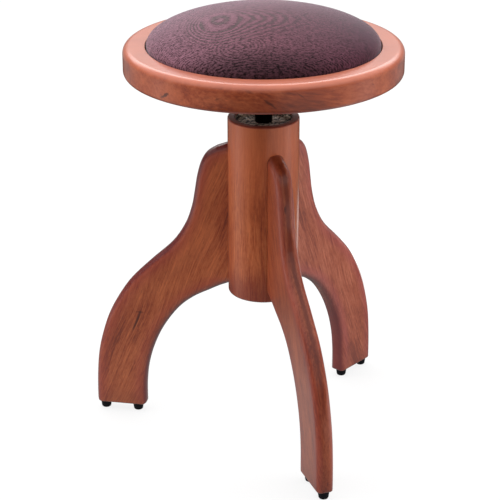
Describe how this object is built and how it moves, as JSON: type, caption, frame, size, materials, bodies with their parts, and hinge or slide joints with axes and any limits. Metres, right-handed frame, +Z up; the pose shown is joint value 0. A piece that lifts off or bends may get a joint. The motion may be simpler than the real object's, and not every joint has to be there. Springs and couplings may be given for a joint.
{
  "type": "revolving piano stool",
  "caption": "Round upholstered revolving stool whose seat turns and rises on a screw spindle in a turned wooden column with curved plank legs.",
  "frame": {"origin": "the point of the floor on the axis of the column, about which the seat turns", "axes": "+Z up along the column; the front leg points to -Y, and the other two legs lie at 120 degrees to it, to +X and to -X"},
  "size_m": [0.378, 0.381, 0.536],
  "materials": {
    "stained_wood": "satin",
    "raw_wood": "matte",
    "foot_rubber": "matte",
    "zinc_steel": "satin",
    "cast_zinc": "matte",
    "guide_nylon": "satin",
    "black_steel": "satin",
    "plate_iron": "matte",
    "foam": "matte",
    "cover_cloth": "matte"
  },
  "bodies": {
    "base": {"column": "stained_wood", "leg_front": "stained_wood", "leg_left": "stained_wood", "leg_right": "stained_wood", "leg_dowels": "raw_wood", "foot_front_outer": "foot_rubber", "foot_front_inner": "foot_rubber", "foot_left_outer": "foot_rubber", "foot_left_inner": "foot_rubber", "foot_right_outer": "foot_rubber", "foot_right_inner": "foot_rubber", "foot_screws": "zinc_steel", "flange_nut": "cast_zinc", "nut_screws": "zinc_steel"},
    "guide": {"spindle_guide": "guide_nylon"},
    "seat": {"spindle": "black_steel", "guide_washers": "zinc_steel", "end_screw": "zinc_steel", "seat_plate": "plate_iron", "spindle_pin": "zinc_steel", "plate_bolts": "zinc_steel", "tee_nuts": "zinc_steel", "seat_board": "raw_wood", "board_screws": "zinc_steel", "seat_ring": "stained_wood", "pad_screws": "zinc_steel", "pad_board": "raw_wood", "cover_staples": "zinc_steel", "pad_foam": "foam", "pad_cover": "cover_cloth"}
  },
  "joints": [
    {"name": "seat_lift", "type": "slide", "parent": "base", "child": "guide", "axis": [0, 0, 1], "range_m": [0, 0.0695]},
    {"name": "seat_turn", "type": "hinge", "parent": "guide", "child": "seat", "pos_m": [0, 0, 0.4], "axis": [0, 0, 1], "range_deg": [0, 4995]}
  ],
  "couplings": [
    {"joint": "seat_lift", "follows": "seat_turn", "m_per_rad": 0.00079577}
  ]
}
